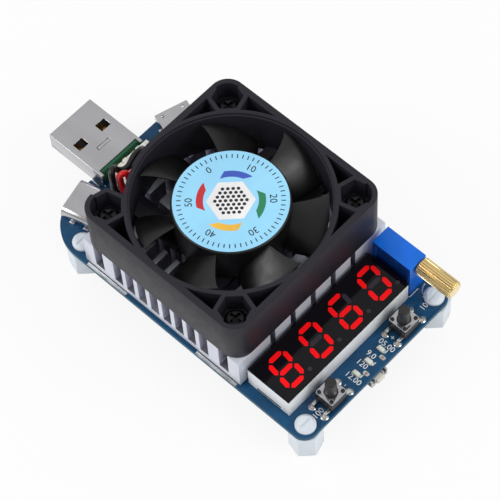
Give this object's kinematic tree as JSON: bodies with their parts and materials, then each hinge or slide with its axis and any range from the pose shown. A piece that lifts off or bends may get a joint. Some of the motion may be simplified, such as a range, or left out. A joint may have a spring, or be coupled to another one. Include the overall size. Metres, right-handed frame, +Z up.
{
  "type": "dc electronic load",
  "caption": "Compact DC load tester: fan-cooled finned heat sink on a blue board with nylon feet, digit display, push switches, fluted trimmer knob, power plug and ports.",
  "frame": {"origin": "on the resting plane, midway between the threaded holes of the four feet", "axes": "+X to the right along the display, +Y towards the power plug, +Z up"},
  "size_m": [0.0452, 0.0883, 0.0282],
  "materials": {
    "blue_board": "glossy solder mask",
    "tin": "bright tin",
    "nylon": "translucent white, satin",
    "pad_grey": "soft, matte",
    "sink_aluminium": "satin",
    "plain_steel": "satin",
    "black_steel": "black oxide",
    "fan_black": "fine matte grain",
    "rotor_black": "satin",
    "bronze": "oiled",
    "copper_wire": "lacquered copper",
    "green_board": "glossy",
    "magnet_grey": "matte",
    "label_blue": "printed film",
    "wire_red": "satin",
    "wire_black": "satin",
    "connector_white": "satin",
    "shell_steel": "nickel plated",
    "insulator_green": "satin",
    "contact_gold": "gold plated",
    "tongue_black": "matte",
    "display_white": "satin",
    "display_black": "polished",
    "segment_red": "lit",
    "segment_grey": "unlit",
    "switch_black": "matte",
    "button_cream": "satin",
    "trimmer_blue": "satin",
    "knob_brass": "bright turned",
    "lamp_white": "clear yellowish resin",
    "chip_black": "matte",
    "ceramic_tan": "ceramic"
  },
  "bodies": {
    "load": {"circuit_board": "blue_board", "edge_strips": "tin", "standoffs": "nylon", "board_screws": "nylon", "thermal_pad": "pad_grey", "heat_sink": "sink_aluminium", "heat_sink_screws": "plain_steel", "fan_frame": "fan_black", "fan_screws": "black_steel", "fan_bearing": "bronze", "motor_board": "green_board", "stator_core": "plain_steel", "stator_coils": "copper_wire", "fan_lead_red": "wire_red", "fan_lead_black": "wire_black", "fan_lead_plug": "connector_white", "fan_socket": "connector_white", "fan_socket_pins": "tin", "plug_shell": "shell_steel", "plug_insulator": "insulator_green", "plug_contacts": "contact_gold", "wide_port_shell": "shell_steel", "wide_port_tongue": "tongue_black", "small_port_shell": "shell_steel", "small_port_tongue": "tongue_black", "display_case": "display_white", "display_face": "display_black", "lit_segments": "segment_red", "unlit_segments": "segment_grey", "display_pins": "tin", "switch_bases": "switch_black", "switch_covers": "shell_steel", "switch_legs": "tin", "snap_domes": "plain_steel", "side_switch_base": "switch_black", "side_switch_cover": "shell_steel", "trimmer_body": "trimmer_blue", "trimmer_pins": "tin", "lamp_bodies": "lamp_white", "lamp_ends": "tin", "power_transistors": "chip_black", "transistor_tabs": "tin", "sense_resistor": "chip_black", "controller_chip": "chip_black", "amplifier_chip": "chip_black", "voltage_regulator": "chip_black", "chip_leads": "tin", "chip_capacitors": "ceramic_tan"},
    "rotor": {"fan_rotor": "rotor_black", "rotor_yoke": "plain_steel", "rotor_magnet": "magnet_grey", "rotor_shaft": "plain_steel", "hub_label": "label_blue"},
    "left_push": {"left_button": "switch_black"},
    "right_push": {"right_button": "switch_black"},
    "side_push": {"side_button": "button_cream"},
    "knob": {"trimmer_adjuster": "knob_brass", "trimmer_knob": "knob_brass"}
  },
  "joints": [
    {"name": "fan_spin", "type": "hinge", "parent": "load", "child": "rotor", "pos_m": [0.0001, 0.00585, 0.02], "axis": [0, 0, 1], "continuous": true},
    {"name": "left_press", "type": "slide", "parent": "load", "child": "left_push", "axis": [0, 0, -1], "range_m": [0, 0.00025], "stiffness_N_per_m": 400, "springref_m": -0.0005},
    {"name": "right_press", "type": "slide", "parent": "load", "child": "right_push", "axis": [0, 0, -1], "range_m": [0, 0.00025], "stiffness_N_per_m": 400, "springref_m": -0.0005},
    {"name": "side_press", "type": "slide", "parent": "load", "child": "side_push", "axis": [0, 1, 0], "range_m": [0, 0.00025], "stiffness_N_per_m": 400, "springref_m": -0.0005},
    {"name": "knob_turn", "type": "hinge", "parent": "load", "child": "knob", "pos_m": [0.0191, -0.03, 0.0162], "axis": [0, 1, 0], "continuous": true}
  ]
}
